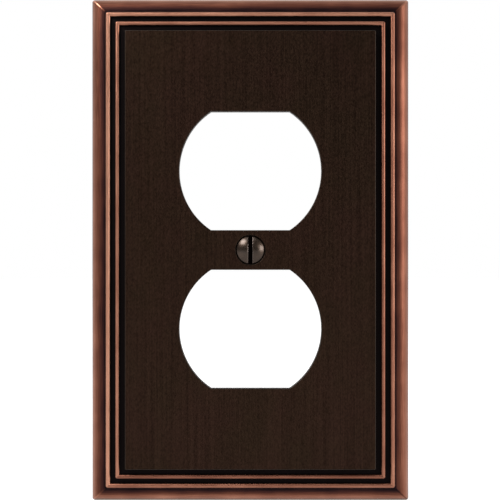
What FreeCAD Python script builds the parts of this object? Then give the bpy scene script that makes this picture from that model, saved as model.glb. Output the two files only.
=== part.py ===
import FreeCAD, Part
import math
import os
import re

import Sketcher
from FreeCAD import Placement, Rotation, Vector

# Decorative one-gang wall plate cover for a duplex receptacle: a hollow zinc
# casting, its oval-head mounting screw and the washer that keeps the screw on it.
#
# Every body is modelled lying on its back, with Z pointing away from the wall,
# and its Placement stands it up: X to the right, Z up, the front facing -Y.
# The wall is the plane Y = 0 and the screw's axis passes through the origin.
# All lengths are in millimetres and all angles in degrees.

SIZES = {
    # outline and moulded border, from the outer edge inwards and from the wall outwards
    "plate_width": 79.375,
    "plate_height": 125.476,
    "corner_radius": 0.5,
    "lip_height": 0.5,
    "band_radius": 3.4,
    "band_flat": 0.5,
    "outer_bead_width": 1.2,
    "bead_foot": 0.1,
    "bead_gap": 1.35,
    "tier_rise": 0.9,
    "inner_bead_width": 1.05,
    "panel_gap": 1.5,
    "panel_rise": 1.7,
    "panel_corner": 0.3,
    "panel_edge_round": 0.25,
    # hollow back
    "rim_width": 2.4,
    "shell_wall": 1.6,
    "cavity_corner": 1.0,
    # duplex openings, each a circle with its top and bottom cut flat
    "opening_radius": 17.4,
    "opening_flat_cut": 2.9,
    "opening_edge_break": 0.2,
    "bridge_margin": 0.6,
    # screw seat, round the head of the screw
    "countersink_angle": 82.0,
    "countersink_margin": 0.275,
    "seat_clearance": 0.03,
    "passage_clearance": 0.2,
    "boss_wall": 0.575,
    "boss_rise": 0.9,
    # oval-head screw, 6-32 UNC by 1/2 inch
    "head_diameter": 6.8,
    "head_land": 0.12,
    "dome_height": 1.2,
    "slot_width": 1.1,
    "slot_depth": 1.3,
    "thread_diameter": 3.505,
    "thread_pitch": 0.79375,
    "thread_chamfer": 0.35,
    "screw_length": 12.7,
    # captive washer on the screw's neck
    "retainer_diameter": 8.0,
    "retainer_thickness": 0.8,
    "retainer_edge_break": 0.12,
    "slit_width": 0.6,
    "slit_land": 1.0,
    "neck_clearance": 0.03,
    "shoulder_clearance": 0.05,
    "screw_travel": 3.0,
    "stop_clearance": 0.1,
    # how far a cut runs past the metal that it removes
    "overrun": 1.0,
}

SLIT_COUNT = 4
EDGE_TOLERANCE = 1e-4
STAND_UP = Placement(Vector(0, 0, 0), Rotation(Vector(1, 0, 0), 90))

# Formulas shared by the pieces, written with the size names above.
BAND_TOP = "(lip_height + band_radius)"
TIER_TOP = f"({BAND_TOP} + tier_rise)"
PANEL_TOP = f"({TIER_TOP} + panel_rise)"
BEAD_INSET = "(band_radius + band_flat)"
TIER_INSET = f"({BEAD_INSET} + outer_bead_width + bead_gap)"
PANEL_INSET = f"({TIER_INSET} + inner_bead_width + panel_gap)"
COUNTERSINK = "(head_diameter + 2 * countersink_margin)"
HALF_ANGLE = "tan(countersink_angle / 2)"
HEAD_RIM = f"({PANEL_TOP} - countersink_margin / {HALF_ANGLE} + seat_clearance)"
BOSS = f"({COUNTERSINK} + 2 * boss_wall)"
BOSS_BACK = f"({PANEL_TOP} - shell_wall - boss_rise)"
BRIDGE = f"({BOSS} + 2 * bridge_margin)"
# a rolled 60 degree thread stands on a blank as thick as its pitch diameter
NECK = "(thread_diameter - 0.6495 * thread_pitch)"
RETAINER_BACK = f"({BOSS_BACK} - stop_clearance - screw_travel - retainer_thickness)"

# Sides on which an arc bulges, seen along its direction of travel.
LEFT = 1
RIGHT = -1
HALF_ROUND = "half round"

doc = FreeCAD.newDocument("wall_plate_cover")


def fill_sheet():
    """Put every driving size in a spreadsheet cell that carries its name."""
    sheet = doc.addObject("Spreadsheet::Sheet", "sizes")
    for row, (name, value) in enumerate(SIZES.items(), start=1):
        sheet.set(f"A{row}", name)
        sheet.set(f"B{row}", str(value))
        sheet.setAlias(f"B{row}", name)
    doc.recompute()


def in_cells(formula):
    """Return the formula with each size name pointing at its spreadsheet cell."""

    def cell(match):
        word = match.group()
        return f"sizes.{word}" if word in SIZES else word

    return re.sub(r"[a-z_]+", cell, formula)


def bind(item, prop, formula):
    """Tie a property of a document object to a formula of size names."""
    item.setExpression(prop, in_cells(formula))


def new_body(label):
    """Start an upright body that carries its own name."""
    body = doc.addObject("PartDesign::Body", label)
    body.Label = label
    body.Placement = STAND_UP
    return body


def sketch_on(body, role, name, height=None):
    """Attach a sketch to one of the body's origin planes, raised by a formula."""
    sketch = body.newObject("Sketcher::SketchObject", name)
    plane = next(item for item in body.Origin.OriginFeatures if item.Role == role)
    sketch.AttachmentSupport = [(plane, "")]
    sketch.MapMode = "FlatFace"
    if height is not None:
        bind(sketch, "AttachmentOffset.Base.z", height)
    return sketch


def constrain(sketch, formula, *terms):
    """Add one dimension to a sketch and tie it to a formula."""
    value = sketch.evalExpression(in_cells(formula))
    number = sketch.addConstraint(Sketcher.Constraint(*terms, value))
    bind(sketch, f"Constraints[{number}]", formula)


def arc_between(start, end, radius, side):
    """Return the shorter arc of a radius between two points, bulging to one side."""
    chord = end - start
    half = chord.Length / 2
    rise = radius - math.sqrt(max(radius**2 - half**2, 0))
    outward = Vector(-chord.y, chord.x, 0).normalize() * side
    return Part.Arc(start, (start + end) / 2 + outward * rise, end)


def trace(sketch, corners, arcs=None):
    """Draw a closed outline through corners given as pairs of formulas.

    Each side runs from its corner to the next one. The dictionary arcs gives,
    by side number, the radius formula and the side to which that side bulges.
    HALF_ROUND in place of a formula makes a half circle that leaves the side
    before it without a corner.
    """
    arcs = arcs or {}
    points = [
        Vector(*(sketch.evalExpression(in_cells(formula)) for formula in corner), 0)
        for corner in corners
    ]
    first = sketch.GeometryCount
    ends = []
    for side, start in enumerate(points):
        end = points[(side + 1) % len(points)]
        size, bulge = arcs.get(side, (None, RIGHT))
        if size is None:
            curve = Part.LineSegment(start, end)
        elif size == HALF_ROUND:
            curve = arc_between(start, end, (end - start).Length / 2, bulge)
        else:
            curve = arc_between(start, end, sketch.evalExpression(in_cells(size)), bulge)
        # a sketch keeps every arc anticlockwise, so one that bulges left is turned round
        ends.append((1, 2) if bulge == RIGHT else (2, 1))
        sketch.addGeometry(curve)
    for side, corner in enumerate(corners):
        after = (side + 1) % len(corners)
        joint = (first + side, ends[side][1], first + after, ends[after][0])
        smooth = after in arcs and arcs[after][0] == HALF_ROUND
        kind = "Tangent" if smooth else "Coincident"
        sketch.addConstraint(Sketcher.Constraint(kind, *joint))
        corner_point = (first + side, ends[side][0])
        constrain(sketch, corner[0], "DistanceX", -1, 1, *corner_point)
        constrain(sketch, corner[1], "DistanceY", -1, 1, *corner_point)
        if side in arcs and arcs[side][0] != HALF_ROUND:
            constrain(sketch, arcs[side][0], "Radius", first + side)


def circle(sketch, diameter):
    """Draw a circle round the sketch's origin."""
    radius = sketch.evalExpression(in_cells(diameter)) / 2
    number = sketch.addGeometry(Part.Circle(Vector(0, 0, 0), Vector(0, 0, 1), radius))
    sketch.addConstraint(Sketcher.Constraint("Coincident", number, 3, -1, 1))
    constrain(sketch, diameter, "Diameter", number)


def plate_rectangle(sketch, inset, corner):
    """Draw the plate's outline moved inwards, with its corners rounded."""
    across = f"(plate_width / 2 - {inset})"
    up = f"(plate_height / 2 - {inset})"
    near_x = f"({across} - {corner})"
    near_y = f"({up} - {corner})"
    corners = [
        (f"-{near_x}", f"-{up}"),
        (near_x, f"-{up}"),
        (across, f"-{near_y}"),
        (across, near_y),
        (near_x, up),
        (f"-{near_x}", up),
        (f"-{across}", near_y),
        (f"-{across}", f"-{near_y}"),
    ]
    trace(sketch, corners, {side: (corner, RIGHT) for side in (1, 3, 5, 7)})


def plate_path(body, name, inset, height):
    """Return a sketched path round the plate that starts half-way up its right side."""
    sketch = sketch_on(body, "XY_Plane", name, height)
    across = f"(plate_width / 2 - {inset})"
    up = f"(plate_height / 2 - {inset})"
    corners = [
        (across, "0"),
        (across, up),
        (f"-{across}", up),
        (f"-{across}", f"-{up}"),
        (across, f"-{up}"),
    ]
    trace(sketch, corners)
    return sketch


def pad(body, sketch, length):
    """Raise a sketch into solid metal."""
    feature = body.newObject("PartDesign::Pad", f"{sketch.Name}_pad")
    feature.Profile = sketch
    bind(feature, "Length", length)
    return feature


def pocket(body, sketch, length, upward=False):
    """Cut a sketch out of the body, downwards unless upward is set."""
    feature = body.newObject("PartDesign::Pocket", f"{sketch.Name}_pocket")
    feature.Profile = sketch
    feature.Reversed = upward
    bind(feature, "Length", length)
    return feature


def moulding(body, kind, profile, path, corners):
    """Sweep a profile round the plate; corners names how the sweep turns them."""
    feature = body.newObject(f"PartDesign::{kind}", f"{profile.Name}_sweep")
    feature.Profile = profile
    feature.Spine = path
    feature.Transition = corners
    return feature


def edges_at(feature, height, wanted):
    """Return the names of the edges at one height whose centres are wanted."""
    level = feature.evalExpression(in_cells(height))
    names = []
    for number, edge in enumerate(feature.Shape.Edges, start=1):
        box = edge.BoundBox
        level_edge = max(abs(box.ZMin - level), abs(box.ZMax - level)) < EDGE_TOLERANCE
        if level_edge and wanted(box.Center):
            names.append(f"Edge{number}")
    return names


def dress(body, kind, base, names, prop, size):
    """Round or bevel named edges of the base feature."""
    feature = body.newObject(f"PartDesign::{kind}", f"{base.Name}_{kind.lower()}")
    feature.Base = (base, names)
    bind(feature, prop, size)
    return feature


def bead(body, name, inset, width, height):
    """Lay a half-round bead on the plate, its outer edge at an inset."""
    middle = f"({inset} + {width} / 2)"
    path = plate_path(body, f"{name}_path", middle, height)
    profile = sketch_on(body, "XZ_Plane", name)
    outer = f"(plate_width / 2 - {inset})"
    inner = f"({outer} - {width})"
    spring = f"({height} + bead_foot)"
    corners = [(inner, height), (outer, height), (outer, spring), (inner, spring)]
    trace(profile, corners, {2: (HALF_ROUND, RIGHT)})
    return moulding(body, "AdditivePipe", profile, path, "Round corner")


def round_band(body):
    """Round the slab's outer edge off into a quarter-round with mitred corners."""
    path = plate_path(body, "band_path", "0", "lip_height")
    profile = sketch_on(body, "XZ_Plane", "band_offcut")
    edge = "(plate_width / 2)"
    outside = f"({edge} + overrun)"
    above = f"({BAND_TOP} + overrun)"
    crest = f"({edge} - band_radius)"
    corners = [
        (edge, "lip_height"),
        (outside, "lip_height"),
        (outside, above),
        (crest, above),
        (crest, BAND_TOP),
    ]
    trace(profile, corners, {4: ("band_radius", LEFT)})
    return moulding(body, "SubtractivePipe", profile, path, "Right corner")


def raise_front(body):
    """Build the slab, both beads, the tier between them and the raised panel."""
    slab = sketch_on(body, "XY_Plane", "slab")
    plate_rectangle(slab, "0", "corner_radius")
    pad(body, slab, BAND_TOP)
    round_band(body)
    bead(body, "outer_bead", BEAD_INSET, "outer_bead_width", BAND_TOP)
    tier = sketch_on(body, "XY_Plane", "tier", BAND_TOP)
    plate_rectangle(tier, TIER_INSET, "(inner_bead_width / 2)")
    pad(body, tier, "tier_rise")
    bead(body, "inner_bead", TIER_INSET, "inner_bead_width", TIER_TOP)
    panel = sketch_on(body, "XY_Plane", "panel", TIER_TOP)
    plate_rectangle(panel, PANEL_INSET, "panel_corner")
    panel_pad = pad(body, panel, "panel_rise")
    doc.recompute()
    top = edges_at(panel_pad, PANEL_TOP, lambda centre: True)
    dress(body, "Fillet", panel_pad, top, "Radius", "panel_edge_round")


def hollow_back(body):
    """Hollow the back in three steps that keep one wall thickness under the front."""
    steps = {
        "rim_cavity": ("rim_width", BAND_TOP),
        "tier_cavity": (f"({TIER_INSET} + shell_wall)", TIER_TOP),
        "panel_cavity": (f"({PANEL_INSET} + shell_wall)", PANEL_TOP),
    }
    for name, (inset, front) in steps.items():
        sketch = sketch_on(body, "XY_Plane", name)
        plate_rectangle(sketch, inset, "cavity_corner")
        pocket(body, sketch, f"{front} - shell_wall", upward=True)


def duplex_outline(sketch, side):
    """Draw the opening on one side of the screw: 1 for the upper, -1 for the lower."""
    half = "(opening_radius - opening_flat_cut)"
    reach = f"sqrt(opening_radius^2 - {half}^2)"
    middle = f"({side} * ({half} + {BRIDGE} / 2))"
    low = f"({middle} - {half})"
    high = f"({middle} + {half})"
    corners = [(f"-{reach}", low), (reach, low), (reach, high), (f"-{reach}", high)]
    arcs = {number: ("opening_radius", RIGHT) for number in (1, 3)}
    trace(sketch, corners, arcs)


def cut_openings(body):
    """Cut both receptacle openings and break their front edges."""
    sketch = sketch_on(body, "XY_Plane", "openings", PANEL_TOP)
    duplex_outline(sketch, 1)
    duplex_outline(sketch, -1)
    cut = pocket(body, sketch, f"{PANEL_TOP} + overrun")
    doc.recompute()
    box = sketch.Shape.BoundBox

    def on_opening(centre):
        return abs(centre.x) < box.XMax and abs(centre.y) < box.YMax + EDGE_TOLERANCE

    rims = edges_at(cut, PANEL_TOP, on_opening)
    dress(body, "Chamfer", cut, rims, "Size", "opening_edge_break")


def raise_boss(body):
    """Raise the round boss behind the panel that the screw passes through."""
    boss = sketch_on(body, "XY_Plane", "boss", BOSS_BACK)
    circle(boss, BOSS)
    pad(body, boss, "boss_rise + shell_wall / 2")


def seat_screw(body):
    """Drill and countersink the screw's hole from the front."""
    centre = sketch_on(body, "XY_Plane", "screw_hole", PANEL_TOP)
    passage = "(thread_diameter + 2 * passage_clearance)"
    circle(centre, passage)
    doc.recompute()
    hole = body.newObject("PartDesign::Hole", "countersunk_hole")
    hole.Profile = centre
    doc.recompute()
    hole.DepthType = "ThroughAll"
    hole.HoleCutType = "Countersink"
    hole.HoleCutCustomValues = True
    bind(hole, "Diameter", passage)
    bind(hole, "HoleCutDiameter", COUNTERSINK)
    bind(hole, "HoleCutCountersinkAngle", "countersink_angle")


def cover_plate():
    """Cast the plate: moulded front, hollow back, two openings and a screw seat."""
    body = new_body("cover_plate")
    raise_front(body)
    hollow_back(body)
    raise_boss(body)
    cut_openings(body)
    seat_screw(body)
    return body


def mounting_screw():
    """Turn the oval-head screw, then cut its slot."""
    body = new_body("mounting_screw")
    profile = sketch_on(body, "XZ_Plane", "screw_profile")
    head = "(head_diameter / 2)"
    neck = f"({NECK} / 2)"
    thread = "(thread_diameter / 2)"
    rim_front = f"({HEAD_RIM} + head_land)"
    crown = f"({rim_front} + dome_height)"
    cone_foot = f"({HEAD_RIM} - ({head} - {neck}) / {HALF_ANGLE})"
    thread_start = f"({RETAINER_BACK} - shoulder_clearance)"
    tip = f"({rim_front} - screw_length)"
    dome_radius = f"(({head}^2 + dome_height^2) / (2 * dome_height))"
    corners = [
        ("0", crown),
        (head, rim_front),
        (head, HEAD_RIM),
        (neck, cone_foot),
        (neck, thread_start),
        (thread, thread_start),
        (thread, f"({tip} + thread_chamfer)"),
        (f"({thread} - thread_chamfer)", tip),
        ("0", tip),
    ]
    trace(profile, corners, {0: (dome_radius, LEFT)})
    turned = body.newObject("PartDesign::Revolution", "turned_screw")
    turned.Profile = profile
    turned.ReferenceAxis = (profile, ["V_Axis"])
    turned.Angle = 360
    slot = sketch_on(body, "XY_Plane", "slot", crown)
    side = "(slot_width / 2)"
    end = f"({head} + overrun)"
    trace(slot, [(f"-{side}", f"-{end}"), (side, f"-{end}"), (side, end), (f"-{side}", end)])
    pocket(body, slot, "slot_depth")
    return body


def screw_retainer():
    """Make the captive washer, slit so that it can be pressed over the thread."""
    body = new_body("screw_retainer")
    disc = sketch_on(body, "XY_Plane", "disc", RETAINER_BACK)
    circle(disc, "retainer_diameter")
    circle(disc, f"({NECK} + 2 * neck_clearance)")
    disc_pad = pad(body, disc, "retainer_thickness")
    doc.recompute()
    reach = SIZES["retainer_diameter"] / 2
    rim = [
        f"Edge{number}"
        for number, edge in enumerate(disc_pad.Shape.Edges, start=1)
        if abs(edge.BoundBox.XMax - reach) < EDGE_TOLERANCE and len(edge.Vertexes) == 1
    ]
    dress(body, "Chamfer", disc_pad, rim, "Size", "retainer_edge_break")
    slit = sketch_on(body, "XY_Plane", "slit", f"({RETAINER_BACK} + retainer_thickness)")
    side = "(slit_width / 2)"
    end = f"(retainer_diameter / 2 - slit_land - {side})"
    corners = [("0", f"-{side}"), (end, f"-{side}"), (end, side), ("0", side)]
    trace(slit, corners, {1: (HALF_ROUND, RIGHT)})
    cut = pocket(body, slit, "retainer_thickness + overrun")
    slits = body.newObject("PartDesign::PolarPattern", "slits")
    slits.Originals = [cut]
    slits.Axis = (slit, ["N_Axis"])
    slits.Angle = 360
    slits.Occurrences = SLIT_COUNT
    body.Tip = slits
    return body


def check(body):
    """Stop the build if a body, or anything in it, failed to compute."""
    for item in [body, *body.Group]:
        if "Invalid" in item.State or "Error" in item.State:
            raise RuntimeError(f"{item.Label} did not compute: {item.State}")
    if body.Shape.isNull() or not body.Shape.isValid():
        raise RuntimeError(f"{body.Label} has no valid shape")


def export(body):
    """Write the finished body to a STEP file named after it."""
    body.Shape.exportStep(f"parts/{body.Label}.step")


os.makedirs("parts", exist_ok=True)
fill_sheet()
bodies = [cover_plate(), mounting_screw(), screw_retainer()]
doc.recompute()
for piece in bodies:
    check(piece)
    export(piece)
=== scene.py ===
"""Looks for a cast one-gang duplex wall plate in aged bronze, with its oval-head screw and washer.

Sizes are in millimetres and meshes are made in metres, in the row frame: X is the plate's width,
Z its height, and its front faces -Y. Depth is the distance in front of the wall.
"""

import logging
import math
from collections.abc import Iterable, Sequence
from dataclasses import dataclass
from enum import Enum

import bmesh
import bpy
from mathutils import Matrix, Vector
from mathutils.geometry import tessellate_polygon


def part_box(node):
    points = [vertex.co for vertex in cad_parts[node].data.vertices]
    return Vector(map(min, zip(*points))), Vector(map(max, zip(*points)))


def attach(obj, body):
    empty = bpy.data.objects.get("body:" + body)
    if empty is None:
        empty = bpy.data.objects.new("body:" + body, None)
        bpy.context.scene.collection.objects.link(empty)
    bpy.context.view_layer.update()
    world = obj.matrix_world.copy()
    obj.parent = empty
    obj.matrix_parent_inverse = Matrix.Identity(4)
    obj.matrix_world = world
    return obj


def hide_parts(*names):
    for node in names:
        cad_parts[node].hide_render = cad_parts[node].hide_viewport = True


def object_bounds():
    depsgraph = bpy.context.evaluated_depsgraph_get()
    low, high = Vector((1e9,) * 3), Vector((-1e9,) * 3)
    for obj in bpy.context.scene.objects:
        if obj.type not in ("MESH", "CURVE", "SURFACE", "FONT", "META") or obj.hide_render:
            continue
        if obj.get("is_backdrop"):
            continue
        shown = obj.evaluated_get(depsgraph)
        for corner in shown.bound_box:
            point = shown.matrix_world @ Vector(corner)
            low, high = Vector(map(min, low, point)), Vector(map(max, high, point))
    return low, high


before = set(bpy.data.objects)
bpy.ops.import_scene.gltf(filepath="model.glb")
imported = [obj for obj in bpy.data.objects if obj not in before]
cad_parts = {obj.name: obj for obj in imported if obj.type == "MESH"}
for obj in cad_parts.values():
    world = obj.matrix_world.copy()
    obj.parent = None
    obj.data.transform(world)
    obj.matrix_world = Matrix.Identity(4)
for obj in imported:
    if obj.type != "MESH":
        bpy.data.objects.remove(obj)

LOG = logging.getLogger("wall_plate")
MM = 0.001
FLOOR_GAP = 0.05 * MM
WELD = 1e-8

Pair = tuple[float, float]
Point = tuple[float, float, float]
Colour = tuple[float, float, float]
Scales = tuple[float, float, float]
Sides = tuple[float, float, float, float]
Socket = bpy.types.NodeSocket
Value = Socket | float | Sequence[float]
Inputs = dict[str | int, Value]


class Part(Enum):
    """The CAD nodes, by name."""

    PLATE = "cover_plate"
    SCREW = "mounting_screw"
    WASHER = "screw_retainer"


class Body(Enum):
    """The bodies that pieces ride on."""

    COVER = "cover"
    SCREW = "screw"
    RETAINER = "retainer"


class Slot(Enum):
    """The record's material slots."""

    CASTING = "aged_bronze_casting"
    SCREW = "dark_bronze_screw"
    NYLON = "natural_nylon"


class Zone(Enum):
    """The plate's finishes, in the order of its material slots."""

    MOULDING = 0
    PANEL = 1
    BACK = 2


def row(x: float, z: float, depth: float) -> Point:
    """Gives the row-frame place, in metres, of a point on the plate in millimetres."""
    return (x * MM, -depth * MM, z * MM)


def arc(centre: Pair, radius: float, start: float, end: float, steps: int) -> list[Pair]:
    """Gives steps + 1 points along an arc, from one angle to another in degrees."""
    angles = [math.radians(start + (end - start) * k / steps) for k in range(steps + 1)]
    return [(centre[0] + radius * math.cos(a), centre[1] + radius * math.sin(a)) for a in angles]


def quarter(steps: int) -> list[tuple[float, float, float]]:
    """Gives a quarter round from 90 degrees to 0: each angle, 1 less its cosine and 1 less its sine."""
    turns = [math.radians(90 - 90 * k / steps) for k in range(steps + 1)]
    return [(turn, 1 - math.cos(turn), 1 - math.sin(turn)) for turn in turns]


class Loom:
    """Gathers closed loops of points, and the faces between them, into one mesh."""

    def __init__(self) -> None:
        """Starts with no points and no faces."""
        self.points: list[Point] = []
        self.rubs_and_light: list[float] = []
        self.faces: list[tuple[int, ...]] = []
        self.zones: list[int] = []

    def loop(self, points: Iterable[Point], rub: float | Sequence[float] = 0.0) -> list[int]:
        """Adds points.

        Args:
            points: Places as (x, z, depth) in millimetres.
            rub: How far the dark finish is rubbed off there, with painted light mixed in,
            for all or for each: 1 is bright metal, 0 is unworn, and below 0 the screw's slot gets painted
                shade.

        Returns:
            The new points' numbers.
        """
        first = len(self.points)
        self.points += [row(*p) for p in points]
        count = len(self.points) - first
        self.rubs_and_light += [rub] * count if isinstance(rub, float) else list(rub)
        return list(range(first, len(self.points)))

    def face(self, corners: Sequence[int], zone: int = 0) -> None:
        """Adds one face with the given corners and zone."""
        self.faces.append(tuple(corners))
        self.zones.append(zone)

    def band(self, first: Sequence[int], second: Sequence[int], zone: int = 0) -> None:
        """Joins two closed loops of the same length with a band of quads.

        Args:
            first: One loop.
            second: The loop beside it.
            zone: The band's zone.
        """
        for k, corner in enumerate(first):
            following = (k + 1) % len(first)
            self.face((corner, first[following], second[following], second[k]), zone)

    def skin(self, loops: Sequence[Sequence[int]], zone: int = 0) -> None:
        """Joins each closed loop to the next one with a band of quads."""
        for first, second in zip(loops, loops[1:]):
            self.band(first, second, zone)

    def fill(self, outline: Sequence[int], holes: Sequence[Sequence[int]], zone: int = 0) -> None:
        """Fills a flat outline, leaving its holes open.

        Args:
            outline: The outer loop.
            holes: The loops of the holes.
            zone: The fill's zone.
        """
        loops = [list(outline)] + [list(h) for h in holes]
        places = [[self.points[i] for i in loop] for loop in loops]
        flat = [[Vector((x, z, 0.0)) / MM for x, _, z in loop] for loop in places]
        numbers = [i for loop in loops for i in loop]
        for triangle in tessellate_polygon(flat):
            self.face([numbers[i] for i in triangle], zone)

    def piece(self, name: str, materials: Sequence[bpy.types.Material], sharp: float) -> bpy.types.Object:
        """Makes the mesh and its object.

        Args:
            name: The object's name.
            materials: Its materials, in the order of its zones.
            sharp: The angle in degrees above which an edge stays sharp.

        Returns:
            The object, linked to the scene.
        """
        mesh = bpy.data.meshes.new(name)
        mesh.from_pydata(self.points, [], self.faces)
        mesh.polygons.foreach_set("material_index", self.zones)
        # This attribute holds real wear together with painted light: highlights and shade that differ by side
        # and corner, and the slot's painted shade.
        rub = mesh.attributes.new("rub", "FLOAT", "POINT")
        rub.data.foreach_set("value", self.rubs_and_light)
        work = bmesh.new()
        work.from_mesh(mesh)
        bmesh.ops.remove_doubles(work, verts=work.verts, dist=WELD)
        bmesh.ops.dissolve_degenerate(work, edges=work.edges, dist=WELD)
        bmesh.ops.recalc_face_normals(work, faces=work.faces)
        work.to_mesh(mesh)
        work.free()
        for polygon in mesh.polygons:
            polygon.use_smooth = True
        mesh.set_sharp_from_angle(angle=math.radians(sharp))
        for material in materials:
            mesh.materials.append(material)
        made = bpy.data.objects.new(name, mesh)
        bpy.context.scene.collection.objects.link(made)
        even = made.modifiers.new("even_shading", "WEIGHTED_NORMAL")
        even.keep_sharp = True
        return made


class Wiring:
    """Short calls for the kinds of nodes that the finishes and the world share."""

    def __init__(self, tree: bpy.types.NodeTree) -> None:
        """Keeps the node tree."""
        self.tree = tree

    def put(self, socket: Socket, value: Value) -> None:
        """Links a socket to another one, or sets its plain value.

        Args:
            socket: The socket that is fed.
            value: The other socket, or a number or colour.
        """
        if isinstance(value, bpy.types.NodeSocket):
            self.tree.links.new(value, socket)
        elif isinstance(value, tuple) and len(value) < len(socket.default_value):
            socket.default_value = (*value, 1.0)
        else:
            socket.default_value = value

    def node(self, kind: str, inputs: Inputs | None = None, **settings: object) -> bpy.types.Node:
        """Adds a node.

        Args:
            kind: Its Blender type.
            inputs: Values or sockets for its inputs.
            settings: Its own settings.

        Returns:
            The node.
        """
        made = self.tree.nodes.new(kind)
        for name, value in settings.items():
            setattr(made, name, value)
        for key, value in (inputs or {}).items():
            self.put(made.inputs[key], value)
        return made

    def math(self, operation: str, *values: Value) -> Socket:
        """Adds a Math node on the given values and gives its result."""
        return self.node("ShaderNodeMath", dict(enumerate(values)), operation=operation).outputs[0]

    def spread(self, value: Value, low: float, high: float, to_low: float, to_high: float) -> Socket:
        """Maps a value, clamped, from low and high to to_low and to_high."""
        ranges = {0: value, 1: low, 2: high, 3: to_low, 4: to_high}
        return self.node("ShaderNodeMapRange", ranges, clamp=True).outputs[0]

    def stretch(self, place: Value, scales: Sequence[float]) -> Socket:
        """Multiplies a place by a scale on each axis, per metre."""
        inputs = {0: place, 1: tuple(scales)}
        return self.node("ShaderNodeVectorMath", inputs, operation="MULTIPLY").outputs[0]

    def noise(self, place: Value, detail: float, roughness: float) -> Socket:
        """Adds noise from 0 to 1, with a grain of about one unit of its place."""
        inputs = {"Vector": place, "Scale": 1.0, "Detail": detail, "Roughness": roughness}
        return self.node("ShaderNodeTexNoise", inputs).outputs[0]

    def ramp(self, value: Value, stops: Sequence[tuple[float, Colour]]) -> Socket:
        """Colours a value.

        Args:
            value: What is coloured.
            stops: Pairs of a value from 0 to 1 and its linear colour.

        Returns:
            The colour.
        """
        made = self.node("ShaderNodeValToRGB", {0: value})
        elements = made.color_ramp.elements
        while len(elements) < len(stops):
            elements.new(0.5)
        for element, (position, colour) in zip(elements, stops):
            element.position = position
            element.color = (*colour, 1.0)
        return made.outputs[0]

    def mix(self, factor: Value, first: Value, second: Value, blend: str = "MIX") -> Socket:
        """Mixes two colours.

        Args:
            factor: How much of the second there is.
            first: One colour.
            second: The other.
            blend: How they mix.

        Returns:
            The mixed colour.
        """
        made = self.node("ShaderNodeMix", data_type="RGBA", blend_type=blend)
        for socket, value in ((made.inputs[0], factor), (made.inputs[6], first), (made.inputs[7], second)):
            self.put(socket, value)
        return made.outputs[2]

    def bump(self, height: Value, distance: float, strength: float, under: Value | None = None) -> Socket:
        """Adds relief.

        Args:
            height: The relief's height, from 0 to 1.
            distance: How high 1 is, in metres.
            strength: How much of it shows.
            under: The relief that it is laid over.

        Returns:
            The shading normal.
        """
        inputs: Inputs = {"Height": height, "Distance": distance, "Strength": strength}
        if under is not None:
            inputs["Normal"] = under
        return self.node("ShaderNodeBump", inputs).outputs[0]

    def seen(self) -> Socket:
        """Tells the rays that look at the studio from the rays that carry its light.

        Returns:
            1 for camera, glossy and transmission rays, and 0 for all others.
        """
        path = self.node("ShaderNodeLightPath").outputs
        direct = self.math("MAXIMUM", path["Is Camera Ray"], path["Is Glossy Ray"])
        return self.math("MAXIMUM", direct, path["Is Transmission Ray"])


class Sheet(Wiring):
    """One material's nodes, with its shader and the place on the object."""

    def __init__(self, name: str) -> None:
        """Makes the material and keeps its shader.

        Args:
            name: The material's name.
        """
        self.material = bpy.data.materials.new(name)
        self.material.use_nodes = True
        super().__init__(self.material.node_tree)
        self.shader = self.tree.nodes["Principled BSDF"]
        self.place = self.node("ShaderNodeTexCoord").outputs["Object"]

    def rub(self) -> Socket:
        """Gives how far the finish is rubbed off, with painted light mixed in, which the mesh holds."""
        return self.node("ShaderNodeAttribute", attribute_name="rub").outputs["Fac"]

    def grain(self, scales: Scales, detail: float, roughness: float) -> Socket:
        """Gives noise over the object, with its scale per metre on each axis."""
        return self.noise(self.stretch(self.place, scales), detail, roughness)

    def finish(self, **sockets: Value) -> bpy.types.Material:
        """Sets the shader's sockets.

        Args:
            sockets: Their values, each under its socket's name with _ for a space.

        Returns:
            The material.
        """
        for name, value in sockets.items():
            self.put(self.shader.inputs[name.replace("_", " ")], value)
        return self.material


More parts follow.
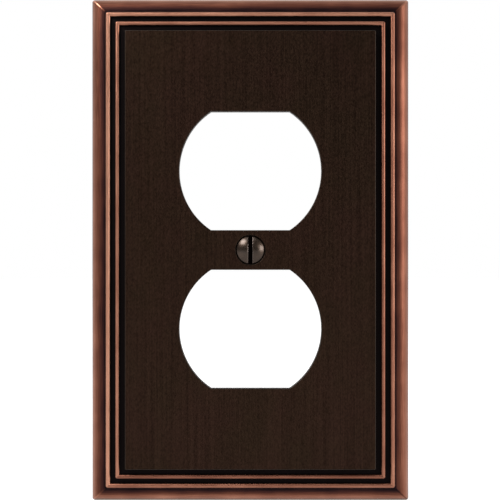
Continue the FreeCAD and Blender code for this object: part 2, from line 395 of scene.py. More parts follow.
@dataclass(frozen=True)
class RubbedCopper:
    """Copper plate, blackened and then rubbed back to bright metal on its crests.

    Its half width and height are the plate's, in metres, and its scales are per metre.
    """

    half_width: float
    half_height: float
    # The groove colour is the black patina left in the grooves, made darker still as painted shade.
    groove: Colour = (0.0046, 0.0034, 0.0034)
    violet: Colour = (0.0130, 0.0062, 0.0070)
    umber: Colour = (0.0400, 0.0140, 0.0115)
    brown: Colour = (0.0900, 0.0310, 0.0190)
    copper: Colour = (0.1950, 0.0780, 0.0490)
    bright: Colour = (0.3500, 0.1620, 0.1050)
    # The brightest polished copper, lightened and whitened as a painted sheen.
    polished_and_painted_sheen: Colour = (0.4550, 0.2260, 0.1520)
    levels: tuple[float, ...] = (0.05, 0.18, 0.32, 0.48, 0.66, 0.84, 1.0)
    drag_along: float = 160.0
    drag_across: float = 5200.0
    cloud_scales: Scales = (130.0, 130.0, 130.0)

    def lengthwise(self, sheet: Sheet) -> Socket:
        """Gives a place that is stretched along whichever side of the frame it is on.

        Args:
            sheet: The material's nodes.

        Returns:
            The stretched place.
        """
        split = sheet.node("ShaderNodeSeparateXYZ", {0: sheet.place})
        x, y, z = split.outputs
        from_side = sheet.math("SUBTRACT", self.half_width, sheet.math("ABSOLUTE", x))
        from_end = sheet.math("SUBTRACT", self.half_height, sheet.math("ABSOLUTE", z))
        upright = sheet.math("LESS_THAN", from_side, from_end)
        run = sheet.node("ShaderNodeMix", {0: upright, 2: x, 3: z}, data_type="FLOAT").outputs[0]
        inset = sheet.math("MINIMUM", from_side, from_end)
        parts = {
            0: sheet.math("MULTIPLY", run, self.drag_along),
            1: sheet.math("MULTIPLY", inset, self.drag_across),
            2: sheet.math("MULTIPLY", y, self.drag_across),
        }
        return sheet.node("ShaderNodeCombineXYZ", parts).outputs[0]

    def material(self) -> bpy.types.Material:
        """Makes the material, darkest where the mesh's rub is 0 and brightest where it is 1, so the painted
        light in the rub shows in its colour.

        Returns:
            The material.
        """
        sheet = Sheet("rubbed_copper")
        rub = sheet.rub()
        drag = sheet.noise(self.lengthwise(sheet), 4.0, 0.6)
        cloud = sheet.grain(self.cloud_scales, 3.0, 0.5)
        # The noisy rub keeps the painted light that the rub holds, beside the real wear.
        worn = sheet.math("ADD", rub, sheet.spread(drag, 0.3, 0.7, -0.07, 0.07))
        worn = sheet.math("ADD", worn, sheet.spread(cloud, 0.3, 0.7, -0.05, 0.05))
        shades = (self.groove, self.violet, self.umber, self.brown, self.copper, self.bright, self.polished_and_painted_sheen)
        gloss = sheet.spread(worn, 0.0, 1.0, 0.55, 0.38)
        rough = sheet.math("ADD", gloss, sheet.spread(drag, 0.3, 0.7, -0.04, 0.05))
        return sheet.finish(
            Base_Color=sheet.ramp(worn, list(zip(self.levels, shades))),
            Metallic=1.0,
            Roughness=rough,
            Normal=sheet.bump(cloud, 0.00006, 0.5, sheet.bump(drag, 0.000012, 0.6)),
        )


@dataclass(frozen=True)
class BrushedBronze:
    """Blackened bronze, brushed up and down in fine lines."""

    dark: Colour = (0.0055, 0.0030, 0.0020)
    light: Colour = (0.0336, 0.0180, 0.0117)
    # Grey for the rubbed edges: wear round the openings and the seat, and a painted highlight on the panel's
    # rim.
    edge: Colour = (0.0280, 0.0265, 0.0225)
    green_cast: Colour = (0.96, 1.02, 0.98)
    red_cast: Colour = (1.03, 0.98, 1.03)
    fine_scales: Scales = (4600.0, 400.0, 2000.0)
    broad_scales: Scales = (3000.0, 200.0, 32.0)
    cloud_scales: Scales = (110.0, 110.0, 80.0)

    def material(self) -> bpy.types.Material:
        """Makes the material, lighter grey on its rubbed edges: worn round the openings and the screw seat,
        and a painted highlight along the panel's rim.

        Returns:
            The material.
        """
        sheet = Sheet("brushed_bronze")
        rub = sheet.rub()
        fine = sheet.grain(self.fine_scales, 2.0, 0.5)
        broad = sheet.grain(self.broad_scales, 2.0, 0.5)
        cloud = sheet.grain(self.cloud_scales, 3.0, 0.5)
        lines = sheet.spread(broad, 0.25, 0.75, 0.02, 0.36)
        tone = sheet.math("ADD", sheet.spread(fine, 0.25, 0.75, 0.04, 0.60), lines)
        tone = sheet.math("ADD", tone, sheet.spread(cloud, 0.3, 0.7, -0.02, 0.02))
        base = sheet.ramp(tone, [(0.0, self.dark), (1.0, self.light)])
        tint = sheet.ramp(cloud, [(0.35, self.green_cast), (0.65, self.red_cast)])
        base = sheet.mix(1.0, base, tint, "MULTIPLY")
        return sheet.finish(
            Base_Color=sheet.mix(rub, base, self.edge),
            Metallic=1.0,
            Roughness=sheet.spread(fine, 0.25, 0.75, 0.42, 0.56),
            Normal=sheet.bump(broad, 0.00002, 0.35, sheet.bump(fine, 0.000010, 0.55)),
        )


@dataclass(frozen=True)
class CastBack:
    """The back of the casting: dark overspray on a grainy die-cast skin."""

    dark: Colour = (0.030, 0.022, 0.018)
    bare: Colour = (0.110, 0.085, 0.072)
    grain_scales: Scales = (2600.0, 2600.0, 2600.0)
    flow_scales: Scales = (60.0, 60.0, 90.0)

    def material(self) -> bpy.types.Material:
        """Makes the material, thinnest where the spray reached least.

        Returns:
            The material.
        """
        sheet = Sheet("cast_back")
        rub = sheet.rub()
        grain = sheet.grain(self.grain_scales, 3.0, 0.6)
        flow = sheet.grain(self.flow_scales, 4.0, 0.55)
        thin = sheet.spread(flow, 0.35, 0.7, 0.0, 0.55)
        thin = sheet.math("ADD", thin, sheet.spread(grain, 0.3, 0.7, -0.1, 0.2))
        thin = sheet.math("ADD", thin, sheet.math("MULTIPLY", rub, 0.4))
        return sheet.finish(
            Base_Color=sheet.ramp(thin, [(0.0, self.dark), (1.0, self.bare)]),
            Metallic=0.7,
            Roughness=sheet.spread(grain, 0.3, 0.7, 0.48, 0.66),
            Normal=sheet.bump(flow, 0.00015, 0.3, sheet.bump(grain, 0.00003, 0.6)),
        )


@dataclass(frozen=True)
class PlatedSteel:
    """The screw's dark bronze plating, smooth on the dome and worn on its edges."""

    dark: Colour = (0.0210, 0.0135, 0.0095)
    warm: Colour = (0.0450, 0.0290, 0.0200)
    worn: Colour = (0.240, 0.190, 0.165)
    # Painted shade for the inside of the screw's slot.
    painted_slot_shade: Colour = (0.0014, 0.0004, 0.0004)
    cloud_scales: Scales = (420.0, 420.0, 420.0)
    grain_scales: Scales = (7000.0, 7000.0, 7000.0)

    def material(self) -> bpy.types.Material:
        """Makes the material, lighter where the mesh's rub is high, with painted shade where it is below 0.

        Returns:
            The material.
        """
        sheet = Sheet("plated_steel")
        rub = sheet.rub()
        cloud = sheet.grain(self.cloud_scales, 4.0, 0.6)
        grain = sheet.grain(self.grain_scales, 2.0, 0.5)
        base = sheet.ramp(cloud, [(0.3, self.dark), (0.75, self.warm)])
        wear = sheet.math("MULTIPLY", rub, sheet.spread(grain, 0.3, 0.6, 0.55, 1.0))
        base = sheet.mix(sheet.spread(wear, 0.0, 1.0, 0.0, 1.0), base, self.worn)
        return sheet.finish(
            # Below a rub of 0, in the slot, the colour turns to painted shade and the coat's reflection is
            # taken away.
            Base_Color=sheet.mix(sheet.spread(rub, -1.0, 0.0, 1.0, 0.0), base, self.painted_slot_shade),
            Metallic=1.0,
            Roughness=sheet.spread(cloud, 0.3, 0.7, 0.30, 0.38),
            Coat_Weight=sheet.spread(rub, -1.0, 0.0, 0.0, 0.3),
            Coat_Roughness=0.22,
            Normal=sheet.bump(grain, 0.000004, 0.4, sheet.bump(cloud, 0.00001, 0.3)),
        )


@dataclass(frozen=True)
class MouldedNylon:
    """Natural nylon: milky, slightly yellow and faintly grained by its mould."""

    milk: Colour = (0.680, 0.640, 0.530)
    cream: Colour = (0.780, 0.750, 0.650)
    scatter: Colour = (0.0012, 0.0010, 0.0007)
    cloud_scales: Scales = (500.0, 500.0, 500.0)
    grain_scales: Scales = (9000.0, 9000.0, 9000.0)

    def material(self) -> bpy.types.Material:
        """Makes the material, with a little light let through the plastic.

        Returns:
            The material.
        """
        sheet = Sheet("moulded_nylon")
        cloud = sheet.grain(self.cloud_scales, 3.0, 0.5)
        grain = sheet.grain(self.grain_scales, 2.0, 0.5)
        return sheet.finish(
            Base_Color=sheet.ramp(cloud, [(0.3, self.milk), (0.7, self.cream)]),
            Roughness=sheet.spread(grain, 0.3, 0.7, 0.36, 0.48),
            Subsurface_Weight=0.25,
            Subsurface_Radius=self.scatter,
            Normal=sheet.bump(grain, 0.000006, 0.5),
        )


@dataclass(frozen=True)
class RubbingAndLight:
    """How one side of the band was rubbed, with that side's painted light: dull at its edge, bright on its
    shoulder, dark inside.
    """

    edge: float
    rise: float
    shoulder: float
    reach: float
    fall: float

    def at(self, share: float) -> float:
        """Gives how rubbed the band is at a share of its width, from its edge inwards."""
        return min(self.edge + self.rise * share, self.shoulder, self.reach - self.fall * share)


@dataclass(frozen=True)
class Station:
    """One line of the plate's profile, run round all four sides.

    Its rub is one number, or one for each side: right, top, left and bottom, and the sides differ as
    painted light. Its mitre adds a painted highlight on the mitred corners, turned to painted shade at the
    bottom right.
    """

    inset: float
    depth: float
    corner: float
    rub: float | Sides = 0.0
    zone: Zone = Zone.MOULDING
    mitre_rub_and_light: float = 0.0


@dataclass
class CoverPlate:
    """The casting: quarter-round band, two beads, raised panel, openings, screw seat and hollow back."""

    half_width: float
    half_height: float
    front: float
    lip: float = 0.5
    band_radius: float = 3.4
    band_steps: int = 12
    band_gap: float = 0.5
    outer_bead: float = 1.2
    inner_bead: float = 1.05
    bead_foot: float = 0.1
    bead_sink: float = 0.02
    bead_steps: int = 12
    tier_inset: float = 6.45
    tier_rise: float = 0.9
    tier_corner: float = 0.5
    groove_round: float = 0.06
    panel_inset: float = 9.0
    panel_corner: float = 0.3
    panel_mitre: float = 0.8
    # How strong the painted highlight along the panel's rounded rim is.
    panel_foot: float = 0.08
    panel_rim_highlight: float = 0.5
    edge_round: float = 0.25
    edge_steps: int = 5
    edge_margin: float = 0.12
    flat_corner: float = 0.1
    outline_round: float = 0.7
    mitre_round: float = 0.32
    mitre_start: float = 0.25
    mitre_light: float = 0.22
    # How far each corner's mitre is brightened, in the order top right, top left, bottom left and bottom
    # right: a painted highlight, brightest at the top left, and painted shade at the bottom right.
    mitre_polish_and_light: Sides = (0.8, 1.3, 0.5, -0.6)
    # One for each side: right, top, left and bottom. Their shared shape is the patina rubbed off the band;
    # the differences between the sides are painted light.
    band_rubbing_and_light: tuple[RubbingAndLight, ...] = (
        RubbingAndLight(0.12, 5.0, 0.76, 0.80, 0.45),
        RubbingAndLight(0.12, 5.0, 0.80, 0.95, 0.78),
        RubbingAndLight(0.12, 5.0, 0.76, 0.86, 0.62),
        RubbingAndLight(0.15, 2.0, 0.66, 1.16, 1.00),
    )
    # How rubbed each bead's crest is, per side: right, top, left and bottom; the inner bead is duller, and
    # the brighter top and left are painted light.
    outer_polish_and_light: Sides = (0.71, 0.84, 0.92, 0.69)
    inner_polish_and_light: Sides = (0.67, 0.75, 0.78, 0.62)
    crevice_rub: float = 0.02
    flank_rub: float = 0.06
    crest_power: float = 0.2
    crease_round: float = 0.06
    corner_steps: int = 8
    opening_radius: float = 17.4
    opening_flat: float = 14.5
    opening_centre: float = 19.35
    opening_break: float = 0.2
    opening_wear: float = 0.35
    opening_steps: int = 36
    seat_radius: float = 3.675
    seat_break: float = 0.1
    seat_wear: float = 0.3
    seat_angle: float = 82.0
    passage_radius: float = 1.9525
    passage_break: float = 0.06
    boss_radius: float = 4.25
    boss_depth: float = 4.0
    boss_fillet: float = 0.3
    boss_wear: float = 0.6
    back_break: float = 0.1
    roof_depth: float = 4.9
    rim_width: float = 2.4
    rim_round: float = 0.15
    rim_corner: float = 0.4
    hollow_steps: tuple[Pair, ...] = ((2.4, 2.3), (8.05, 3.2), (10.6, 4.9))
    hollow_corner: float = 1.0
    hollow_round: float = 0.35
    hollow_turns: int = 3
    circle_steps: int = 96
    sharp_angle: float = 50.0

    @property
    def band_top(self) -> float:
        """Gives the depth of the outer band's top."""
        return self.lip + self.band_radius

    @property
    def tier_top(self) -> float:
        """Gives the depth of the tier that the inner bead stands on."""
        return self.band_top + self.tier_rise

    def course(self, station: Station) -> list[Point]:
        """Runs a station round the plate.

        Args:
            station: The line of the profile.

        Returns:
            The points of its closed loop, as (x, z, depth).
        """
        radius = max(station.corner, self.crease_round)
        wide = self.half_width - station.inset - radius
        high = self.half_height - station.inset - radius
        points = []
        for start, sx, sz in ((0, 1, 1), (90, -1, 1), (180, -1, -1), (270, 1, -1)):
            turn = arc((sx * wide, sz * high), radius, start, start + 90, self.corner_steps)
            points += [(x, z, station.depth) for x, z in turn]
        return points

    def wear(self, station: Station) -> list[float]:
        """Gives how rubbed each point of a station's loop is, with the painted light of its sides and mitres.

        Args:
            station: The line of the profile.

        Returns:
            A rub for each point, in the order of course(), passing from side to side in the corners.
        """
        sides = station.rub if isinstance(station.rub, tuple) else (station.rub,) * 4
        rubs_and_light = []
        for number, polish_and_light in enumerate(self.mitre_polish_and_light):
            first, second = sides[number], sides[(number + 1) % 4]
            for k in range(self.corner_steps + 1):
                turn = k / self.corner_steps
                # Each mitre's painted highlight, and at the bottom right its painted shade.
                middle = station.mitre_rub_and_light * polish_and_light * math.sin(math.pi * turn)
                rubs_and_light.append(first + (second - first) * turn + middle)
        return rubs_and_light

    def bead(self, outer: float, width: float, base: float, polish_and_light: Sides) -> list[Station]:
        """Gives the stations of one bead, from its outer foot over its crest to its inner foot.

        Args:
            outer: The inset of its outer foot.
            width: Its width.
            base: The depth that it stands on.
            polish_and_light: How rubbed its crest is on each side, brighter on the top and left as painted
                light.

        Returns:
            Its stations. The outer half turns a corner on its own radius and the inner half is mitred.
        """
        radius = width / 2
        centre = (outer + radius, base + self.bead_foot)
        stations = [Station(outer, base + self.bead_sink, radius, self.crevice_rub)]
        for inset, depth in arc(centre, radius, 180, 0, self.bead_steps):
            crest = max(0.0, (depth - centre[1]) / radius) ** self.crest_power
            share = self.flank_rub + (1 - self.flank_rub) * crest
            rub = tuple(side * share for side in polish_and_light)
            stations.append(Station(inset, depth, max(0.0, centre[0] - inset), rub))
        stations.append(Station(outer + width, base + self.bead_sink, 0.0, self.crevice_rub))
        return stations

    def front_stations(self) -> list[Station]:
        """Gives the front's profile, from the outer lip to the panel's flat.

        Returns:
            Its stations.
        """
        top, tier = self.band_top, self.tier_top
        sharp, small = self.mitre_round, self.groove_round
        blunt = self.outline_round
        stations = [Station(0.0, 0.0, blunt, 0.2), Station(0.0, self.lip, blunt, 0.25)]
        band = arc((self.band_radius, self.lip), self.band_radius, 180, 90, self.band_steps)
        for inset, depth in band[1:]:
            share = inset / self.band_radius
            corner = sharp + (blunt - sharp) * max(0.0, 1 - share / self.mitre_start)
            rub = tuple(side.at(share) for side in self.band_rubbing_and_light)
            stations.append(Station(inset, depth, corner, rub, mitre_rub_and_light=self.mitre_light))
        stations.append(Station(self.band_radius + self.band_gap / 2, top, sharp, 0.2))
        outer = self.band_radius + self.band_gap
        stations += self.bead(outer, self.outer_bead, top, self.outer_polish_and_light)
        stations.append(Station(outer + self.outer_bead + small, top, 0.0))
        stations.append(Station(self.tier_inset - small, top, self.tier_corner))
        stations.append(Station(self.tier_inset, top + small, self.tier_corner))
        stations += self.bead(self.tier_inset, self.inner_bead, tier, self.inner_polish_and_light)[1:]
        stations.append(Station(self.tier_inset + self.inner_bead + small, tier, 0.0))
        stations.append(Station(self.panel_inset - self.panel_foot, tier, self.panel_corner))
        stations.append(Station(self.panel_inset, tier + self.panel_foot, self.panel_corner))
        centre = (self.panel_inset + self.edge_round, self.front - self.edge_round)
        for k, (inset, depth) in enumerate(arc(centre, self.edge_round, 180, 90, self.edge_steps)):
            corner = self.panel_corner - (inset - self.panel_inset) * self.panel_mitre
            # A lighter line painted round the panel's rounded rim, as a highlight.
            wear = self.panel_rim_highlight * math.sin(math.pi * k / self.edge_steps) ** 2
            stations.append(Station(inset, depth, corner, wear, Zone.PANEL))
        flat = self.panel_inset + self.edge_round + self.edge_margin
        stations.append(Station(flat, self.front, self.flat_corner, 0.0, Zone.PANEL))
        return stations

    def back_stations(self) -> list[Station]:
        """Gives the back's profile, from the outer lip under the rim and up the stepped hollow.

        Returns:
            Its stations.
        """
        small, corner = self.back_break, self.hollow_corner
        inner = self.rim_width - self.rim_round
        stations = [
            Station(self.rim_round, 0.0, self.rim_corner, 0.7, Zone.BACK),
            Station(inner, 0.0, corner + small, 0.6, Zone.BACK),
            Station(self.rim_width, self.rim_round, corner, 0.3, Zone.BACK),
        ]
        depth = 0.0
        for number, (inset, rise) in enumerate(self.hollow_steps):
            if number:
                stations.append(Station(inset - small, depth, corner, 0.1, Zone.BACK))
                stations.append(Station(inset, depth + small, corner, 0.25, Zone.BACK))
            soft = self.hollow_round
            for a, d in arc((inset + soft, rise - soft), soft, 180, 90, self.hollow_turns):
                stations.append(Station(a, d, corner - (a - inset), 0.0, Zone.BACK))
            depth = rise
        return stations

    def opening(self, side: int, grow: float, depth: float) -> list[Point]:
        """Gives one opening's outline: a circle cut off level at its top and bottom.

        Args:
            side: 1 for the upper opening and -1 for the lower one.
            grow: How far outside the opening's wall the outline lies.
            depth: Its depth.

        Returns:
            The points of its closed loop.
        """
        radius, flat = self.opening_radius + grow, self.opening_flat + grow
        reach = math.degrees(math.asin(flat / radius))
        centre = (0.0, side * self.opening_centre)
        right = arc(centre, radius, -reach, reach, self.opening_steps)
        left = arc(centre, radius, 180 - reach, 180 + reach, self.opening_steps)
        return [(x, z, depth) for x, z in right + left]

    def circle(self, radius: float, depth: float) -> list[Point]:
        """Gives a circle round the screw's axis."""
        return [(x, z, depth) for x, z in arc((0.0, 0.0), radius, 0, 360, self.circle_steps)[:-1]]

    def edge(self, size: float, depth: float, sign: int) -> list[tuple[float, float, float]]:
        """Gives a rounded edge, from the flat into the hole.

        Args:
            size: The edge's radius.
            depth: The depth of the flat.
            sign: 1 where the hole goes back from the flat, and -1 where it comes forward.

        Returns:
            For each line of the edge, how far it lies outside the hole, its depth, and its wear: 1
            on the round and 0 at its two ends.
        """
        return [
            (size * out, depth - sign * size * down, float(0 < turn < math.pi / 2))
            for turn, out, down in quarter(4)
        ]

    def pierce(self, loom: Loom, side: int) -> tuple[list[int], list[int]]:
        """Builds the wall of one opening.

        Args:
            loom: Where its faces go.
            side: 1 for the upper opening and -1 for the lower one.

        Returns:
            The loops where it meets the panel and the roof of the hollow.
        """
        fronts = [
            loom.loop(self.opening(side, grow, depth), self.opening_wear * wear)
            for grow, depth, wear in self.edge(self.opening_break, self.front, 1)
        ]
        backs = [
            loom.loop(self.opening(side, grow, depth))
            for grow, depth, _ in self.edge(self.back_break, self.roof_depth, -1)
        ]
        loom.skin(fronts + backs[-1:], Zone.PANEL.value)
        loom.skin(backs[::-1], Zone.BACK.value)
        return fronts[0], backs[0]

    def sink(self, loom: Loom) -> tuple[list[int], list[int]]:
        """Builds the screw's seat, its passage and the boss round it.

        Args:
            loom: Where its faces go.

        Returns:
            The loops where it meets the panel and the roof of the hollow.
        """
        seat = [
            loom.loop(self.circle(self.seat_radius + grow, depth), self.seat_wear * wear)
            for grow, depth, wear in self.edge(self.seat_break, self.front, 1)[:-1]
        ]
        slope = math.tan(math.radians(self.seat_angle / 2))
        fall = (self.seat_radius - self.passage_radius) / slope
        seat.append(loom.loop(self.circle(self.passage_radius, self.front - fall)))
        boss = []
        for _, down, out in reversed(quarter(3)):
            radius = self.boss_radius + self.boss_fillet * out
            boss.append(loom.loop(self.circle(radius, self.roof_depth - self.boss_fillet * down)))
        end, small, lip = self.boss_depth, self.back_break, self.passage_break
        boss.append(loom.loop(self.circle(self.boss_radius, end + small)))
        boss.append(loom.loop(self.circle(self.boss_radius - small, end), self.boss_wear))
        boss.append(loom.loop(self.circle(self.passage_radius + lip, end), self.boss_wear))
        boss.append(loom.loop(self.circle(self.passage_radius, end + lip)))
        loom.skin(seat, Zone.PANEL.value)
        loom.skin(boss, Zone.BACK.value)
        loom.band(seat[-1], boss[-1], Zone.PANEL.value)
        return seat[0], boss[0]

    def build(self, finishes: Sequence[bpy.types.Material]) -> bpy.types.Object:
        """Builds the casting.

        Args:
            finishes: The materials of its zones.

        Returns:
            The piece.
        """
        loom = Loom()
        front = self.front_stations()
        back = self.back_stations()
        front_loops = [loom.loop(self.course(s), self.wear(s)) for s in front]
        back_loops = [loom.loop(self.course(s), s.rub) for s in back]
        loom.band(front_loops[0], back_loops[0], Zone.BACK.value)
        for stations, loops in ((front, front_loops), (back, back_loops)):
            for k in range(1, len(loops)):
                loom.band(loops[k - 1], loops[k], stations[k].zone.value)
        holes = [self.pierce(loom, side) for side in (1, -1)] + [self.sink(loom)]
        loom.fill(front_loops[-1], [hole[0] for hole in holes], Zone.PANEL.value)
        loom.fill(back_loops[-1], [hole[1] for hole in holes], Zone.BACK.value)
        return loom.piece("cast_plate", finishes, self.sharp_angle)


@dataclass
class MountingScrew:
    """The 6-32 oval-head screw: slotted dome, countersunk cone, undercut neck and rolled thread."""

    rim_depth: float
    head_radius: float = 3.4
    head_land: float = 0.12
    dome_height: float = 1.2
    rim_round: float = 0.09
    slot_width: float = 1.1
    slot_depth: float = 1.3
    slot_draft: float = 0.01
    slot_fade: float = 0.3
    slot_line: float = 0.4
    lip_round: float = 0.11
    lip_wear: float = 0.75
    floor_round: float = 0.07
    cone_angle: float = 82.0
    rim_taper: float = 0.012
    rim_break: float = 0.015
    foot_blend: float = 0.05
    foot_rise: float = 0.058
    foot_drop: float = 0.03
    neck_radius: float = 1.4947
    thread_radius: float = 1.7525
    crest_clearance: float = 0.006
    thread_pitch: float = 0.79375
    thread_start: float = 0.05
    thread_lead: float = 0.05
    thread_fade: float = 0.6
    thread_form: float = 0.61343
    flank_angle: float = 30.0
    tip: float = -6.366
    tip_radius: float = 1.4025
    tip_dish: float = 0.05
    dome_columns: int = 20
    dome_rows: int = 28
    sharp_angle: float = 40.0

    @property
    def crown(self) -> float:
        """Gives the depth of the dome's highest point."""
        return self.rim_depth + self.head_land + self.dome_height

    @property
    def crest_width(self) -> float:
        """Gives the width of the thread's flat crest."""
        return self.thread_pitch / 8

    @property
    def thread_height(self) -> float:
        """Gives how far the thread's crest stands above its root."""
        return self.thread_form * self.thread_pitch

    @property
    def flank_width(self) -> float:
        """Gives how long each of the thread's flanks is along the axis."""
        return self.thread_height * math.tan(math.radians(self.flank_angle))

    def dome(self, radius: float) -> float:
        """Gives the dome's depth, with its rim rounded off.

        Args:
            radius: The distance from its axis.

        Returns:
            The depth.
        """
        ball = (self.head_radius**2 + self.dome_height**2) / (2 * self.dome_height)
        depth = self.crown - (ball - math.sqrt(ball**2 - radius**2))
        into = max(0.0, radius - (self.head_radius - self.rim_round))
        return depth - (self.rim_round - math.sqrt(max(0.0, self.rim_round**2 - into**2)))

    def columns(self) -> list[tuple[float, float, float, float]]:
        """Gives the lines that the head is built on, from its right edge to its left.

        Returns:
            For each line its x, how far it lies below the dome, how far above the slot's floor (or a
            negative number for a line outside the slot), and how worn it is, or -1 in the slot, where shade
            is painted.
        """
        half = self.slot_width / 2
        lip, base = self.lip_round, self.floor_round
        lines = []
        start = math.acos((half + lip) / self.head_radius)
        for k in range(1, self.dome_columns):
            lines.append((self.head_radius * math.cos(start * k / self.dome_columns), 0.0, -1.0, 0.0))
        for turn, out, down in quarter(4):
            lines.append((half + lip * out, lip * down, -1.0, self.lip_wear * math.sin(2 * turn)))
        for _, inward, up in reversed(quarter(3)):
            lines.append((half - self.slot_draft - base * inward, 0.0, base * up, -1.0))
        lines.append((half * self.slot_line, 0.0, 0.0, -1.0))
        return lines + [(0.0, 0.0, 0.0, -1.0)] + [(-x, a, b, w) for x, a, b, w in reversed(lines)]

    def top(self, line: tuple[float, float, float, float], z: float) -> float:
        """Gives the head's depth on one of its lines.

        Args:
            line: The line, as columns() gives it.
            z: The place on it.

        Returns:
            The depth.
        """
        x, drop, rise, _ = line
        surface = self.dome(min(self.head_radius, math.hypot(x, z)))
        floor = self.crown - self.slot_depth
        room = min(1.0, max(0.0, (surface - floor) / self.slot_fade))
        if rise >= 0:
            return min(surface, floor + rise * room)
        return surface - drop * room

    def head(self, loom: Loom) -> list[int]:
        """Builds the domed top with its slot.

        Args:
            loom: Where its faces go.

        Returns:
            The loop of its outer edge.
        """
        lines = self.columns()
        grid = []
        for line in lines:
            reach = math.sqrt(self.head_radius**2 - line[0] ** 2)
            rows = [reach * math.sin(math.pi * (k / self.dome_rows - 0.5)) for k in range(self.dome_rows + 1)]
            grid.append(loom.loop([(line[0], z, self.top(line, z)) for z in rows], line[3]))
        for k in range(1, len(grid)):
            for j in range(self.dome_rows):
                loom.face((grid[k - 1][j], grid[k - 1][j + 1], grid[k][j + 1], grid[k][j]))
        rim = self.dome(self.head_radius)
        right = loom.loop([(self.head_radius, 0.0, rim)])[0]
        left = loom.loop([(-self.head_radius, 0.0, rim)])[0]
        for j in range(self.dome_rows):
            loom.face((right, grid[0][j], grid[0][j + 1]))
            loom.face((left, grid[-1][j + 1], grid[-1][j]))
        return [right] + [c[-1] for c in grid] + [left] + [c[0] for c in reversed(grid)]

    def thread(self, angle: float, depth: float) -> float:
        """Gives the thread's radius at a place on the shank.

        Args:
            angle: The place round the axis, in radians.
            depth: The place along it.

        Returns:
            The radius. It fades into the neck at one end and is cut by the point's cone at the other.
        """
        pitch = self.thread_pitch
        phase = (depth / pitch + angle / (2 * math.pi)) % 1.0
        off = min(phase, 1.0 - phase) * pitch - self.crest_width / 2
        cut = self.thread_height * min(1.0, max(0.0, off / self.flank_width))
        radius = self.thread_radius - self.crest_clearance - cut
        fade = min(1.0, max(0.0, (self.thread_start - depth) / (self.thread_fade * pitch)))
        radius = self.neck_radius + (radius - self.neck_radius) * fade * fade * (3 - 2 * fade)
        point = self.tip_radius + (depth - self.tip)
        return min(radius, point)

    def shank(self, loom: Loom, angles: Sequence[float]) -> tuple[list[int], list[int]]:
        """Builds the thread on rows that climb with it, so that its crests are true edges.

        Args:
            loom: Where its faces go.
            angles: The places round the axis where it has points.

        Returns:
            The loops of its upper and lower ends.
        """
        pitch, flank = self.thread_pitch, self.flank_width
        edge = self.crest_width / 2
        marks = [0.0, edge, edge + flank / 2, edge + flank, pitch / 2]
        marks += [pitch - m for m in reversed(marks[1:-1])]
        turns = math.ceil((self.thread_start - self.tip) / pitch) + 2
        levels = [self.thread_start + pitch * (1 - n) - m for n in range(turns + 1) for m in marks]
        offset = (levels[0] / pitch) % 1.0 * pitch
        levels = [v - offset for v in levels]
        grid = []
        for angle in [*angles, angles[0] + 2 * math.pi]:
            climb = pitch * angle / (2 * math.pi)
            depths = [min(self.thread_start, max(self.tip, v - climb + pitch)) for v in levels]
            cos, sin = math.cos(angle), math.sin(angle)
            rings = [(self.thread(angle, d), d) for d in depths]
            grid.append(loom.loop([(r * cos, r * sin, d) for r, d in rings]))
        for k in range(1, len(grid)):
            for j in range(1, len(levels)):
                loom.face((grid[k - 1][j - 1], grid[k - 1][j], grid[k][j], grid[k][j - 1]))
        return [c[0] for c in grid[:-1]], [c[-1] for c in grid[:-1]]

    def build(self, finish: bpy.types.Material) -> bpy.types.Object:
        """Builds the screw.

        Args:
            finish: Its plating.

        Returns:
            The piece.
        """
        loom = Loom()
        edge = self.head(loom)
        places = [loom.points[i] for i in edge]
        angles = [math.atan2(p[2], p[0]) % (2 * math.pi) for p in places]
        slope = math.tan(math.radians(self.cone_angle / 2))
        foot = self.rim_depth - (self.head_radius - self.neck_radius) / slope
        turned = [
            (self.head_radius, self.rim_depth + self.rim_break),
            (self.head_radius - self.rim_taper, self.rim_depth - self.rim_break),
            (self.neck_radius + self.foot_blend, foot + self.foot_rise),
            (self.neck_radius, foot - self.foot_drop),
            (self.neck_radius, self.thread_start + self.thread_lead),
        ]
        loops = [edge]
        for radius, depth in turned:
            loops.append(loom.loop([(radius * math.cos(a), radius * math.sin(a), depth) for a in angles]))
        upper, lower = self.shank(loom, angles)
        loops.append(upper)
        loom.skin(loops)
        centre = loom.loop([(0.0, 0.0, self.tip + self.tip_dish)])[0]
        for k, corner in enumerate(lower):
            loom.face((corner, lower[(k + 1) % len(lower)], centre))
        return loom.piece("oval_head_screw", [finish], self.sharp_angle)


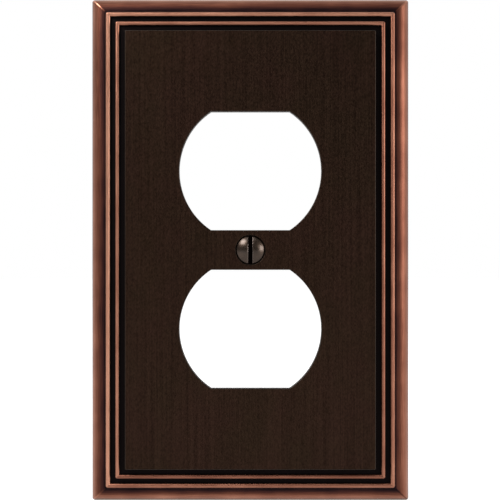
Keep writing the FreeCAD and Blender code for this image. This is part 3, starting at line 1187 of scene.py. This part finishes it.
@dataclass
class ScrewRetainer:
    """The nylon washer that keeps the screw in the plate, slit so that it presses over the thread."""

    back: float
    front: float
    radius: float = 4.0
    bore: float = 1.5245
    slit_width: float = 0.6
    slit_land: float = 1.0
    slits: int = 4
    edge_round: float = 0.12
    edge_steps: int = 96
    bore_round: float = 0.06
    bore_steps: int = 12
    slit_steps: int = 10
    sharp_angle: float = 50.0

    def inside(self, grow: float, depth: float) -> list[Point]:
        """Gives the inner outline: the bore, with its slits.

        Args:
            grow: How far into the washer the outline is moved.
            depth: Its depth.

        Returns:
            The points of its closed loop.
        """
        bore, half = self.bore + grow, self.slit_width / 2 + grow
        end = self.radius - self.slit_land - self.slit_width / 2
        open_angle = math.degrees(math.asin(half / bore))
        points = []
        for k in range(self.slits):
            at = 360 * k / self.slits
            cos, sin = math.cos(math.radians(at)), math.sin(math.radians(at))
            round_end = arc((end, 0.0), half, -90, 90, self.slit_steps)
            points += [(x * cos - y * sin, x * sin + y * cos) for x, y in round_end]
            following = at + 360 / self.slits
            points += arc((0.0, 0.0), bore, at + open_angle, following - open_angle, self.bore_steps)
        return [(x, z, depth) for x, z in points]

    def build(self, finish: bpy.types.Material) -> bpy.types.Object:
        """Builds the washer.

        Args:
            finish: Its nylon.

        Returns:
            The piece.
        """
        loom = Loom()
        sides: list[list[list[int]]] = [[], []]
        for _, cut, rise in quarter(3):
            for number, (face, sign) in enumerate(((self.front, -1), (self.back, 1))):
                radius = self.radius - self.edge_round * cut
                rim = arc((0.0, 0.0), radius, 0, 360, self.edge_steps)[:-1]
                outer = [(x, z, face + sign * self.edge_round * rise) for x, z in rim]
                inner = self.inside(self.bore_round * cut, face + sign * self.bore_round * rise)
                sides[number].append([loom.loop(outer), loom.loop(inner)])
        for loops in sides:
            for edge in zip(*loops):
                loom.skin(edge)
            loom.fill(loops[0][0], [loops[0][1]])
        loom.band(sides[0][-1][0], sides[1][-1][0])
        loom.band(sides[0][-1][1], sides[1][-1][1])
        return loom.piece("nylon_washer", [finish], self.sharp_angle)


@dataclass(frozen=True)
class SoftBox:
    """A square or oblong lamp, aimed at the plate's middle, in metres and watts."""

    name: str
    place: Point
    size: Pair
    power: float

    def hang(self) -> None:
        """Adds the lamp to the scene."""
        light = bpy.data.lights.new(self.name, "AREA")
        light.shape = "RECTANGLE"
        light.size, light.size_y = self.size
        light.energy = self.power
        lamp = bpy.data.objects.new(self.name, light)
        lamp.location = self.place
        lamp.rotation_mode = "QUATERNION"
        lamp.rotation_quaternion = (-Vector(self.place)).to_track_quat("-Z", "Y")
        bpy.context.scene.collection.objects.link(lamp)


@dataclass
class Studio:
    """The floor, the lamps, the world and the camera.

    Its sizes are in metres. The world's heading runs from -1 in front of the plate to 1 behind it.
    """

    floor_height: float
    view_height: float = 0.12617
    view_distance: float = 0.203
    view_offset: float = -0.0000856
    floor_reach: float = 1.5
    floor_tone: float = 0.5
    floor_glow: float = 0.84
    world_level: float = 0.3
    grey_until: float = -0.25
    white_from: float = 0.15
    boxes: tuple[SoftBox, ...] = (
        SoftBox("key_box", (-0.37, -0.325, 0.425), (0.25, 0.25), 5.3),
        SoftBox("right_box", (1.05, -0.55, 0.19), (0.46, 0.44), 9.6),
        SoftBox("top_box", (0.03, -0.30, 0.52), (0.36, 0.12), 0.55),
    )

    def lay_floor(self) -> None:
        """Lays a pale floor just under the plate, white to look at and in reflections."""
        sheet = Sheet("pale_floor")
        paper = sheet.finish(
            Base_Color=(self.floor_tone, self.floor_tone, self.floor_tone),
            Roughness=0.9,
            Emission_Color=(1.0, 1.0, 1.0),
            Emission_Strength=sheet.math("MULTIPLY", sheet.seen(), self.floor_glow),
        )
        reach = self.floor_reach
        corners = [(-reach, -reach), (reach, -reach), (reach, reach), (-reach, reach)]
        mesh = bpy.data.meshes.new("floor")
        mesh.from_pydata([(x, y, self.floor_height) for x, y in corners], [], [(0, 1, 2, 3)])
        mesh.materials.append(paper)
        floor = bpy.data.objects.new("floor", mesh)
        bpy.context.scene.collection.objects.link(floor)
        floor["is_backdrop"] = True

    def fill_world(self) -> None:
        """Makes a world that is lit plainly, white to look at behind the plate and grey in front."""
        world = bpy.data.worlds.new("studio_world")
        bpy.context.scene.world = world
        world.use_nodes = True
        wiring = Wiring(world.node_tree)
        heading = wiring.node("ShaderNodeTexCoord").outputs["Generated"]
        behind = wiring.node("ShaderNodeSeparateXYZ", {0: heading}).outputs[1]
        white = wiring.spread(behind, self.grey_until, self.white_from, self.world_level, 1.0)
        levels = {0: wiring.seen(), 2: self.world_level, 3: white}
        level = wiring.node("ShaderNodeMix", levels, data_type="FLOAT")
        back = world.node_tree.nodes["Background"]
        wiring.put(back.inputs[0], (1.0, 1.0, 1.0))
        wiring.put(back.inputs[1], level.outputs[0])

    def place_camera(self) -> None:
        """Sets the camera straight in front of the plate."""
        data = bpy.data.cameras.new("camera")
        data.sensor_width = 36.0
        data.lens = data.sensor_width * self.view_distance / self.view_height
        data.clip_start, data.clip_end = 0.01, 10.0
        camera = bpy.data.objects.new("camera", data)
        camera.location = (self.view_offset, -self.view_distance, 0.0)
        camera.rotation_euler = (math.pi / 2, 0.0, 0.0)
        bpy.context.scene.collection.objects.link(camera)
        bpy.context.scene.camera = camera

    def build(self) -> None:
        """Sets the whole studio up."""
        self.lay_floor()
        self.fill_world()
        for box in self.boxes:
            box.hang()
        self.place_camera()
        bpy.context.scene.view_settings.view_transform = "Standard"


def settle(piece: bpy.types.Object, body: Body, part: Part) -> None:
    """Puts a finished piece in a CAD node's place.

    Args:
        piece: The piece.
        body: The body that it rides on.
        part: The node that it stands for.
    """
    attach(piece, body.value)
    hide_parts(part.value)
    LOG.info("%s: %d faces, on %s", piece.name, len(piece.data.polygons), body.value)


def main() -> None:
    """Builds the plate, its screw and its washer, and the studio round them."""
    logging.basicConfig(level=logging.INFO, format="%(name)s: %(message)s")
    cad_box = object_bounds()
    low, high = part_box(Part.PLATE.value)
    plate = CoverPlate(high.x / MM, high.z / MM, -low.y / MM)
    copper = RubbedCopper(high.x, high.z)
    finishes = [copper.material(), BrushedBronze().material(), CastBack().material()]
    settle(plate.build(finishes), Body.COVER, Part.PLATE)
    screw_low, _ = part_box(Part.SCREW.value)
    screw = MountingScrew(-screw_low.y / MM - MountingScrew.head_land - MountingScrew.dome_height)
    settle(screw.build(PlatedSteel().material()), Body.SCREW, Part.SCREW)
    washer_low, washer_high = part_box(Part.WASHER.value)
    washer = ScrewRetainer(-washer_high.y / MM, -washer_low.y / MM)
    settle(washer.build(MouldedNylon().material()), Body.RETAINER, Part.WASHER)
    Studio(cad_box[0].z - FLOOR_GAP).build()


if __name__ == "__main__":
    main()
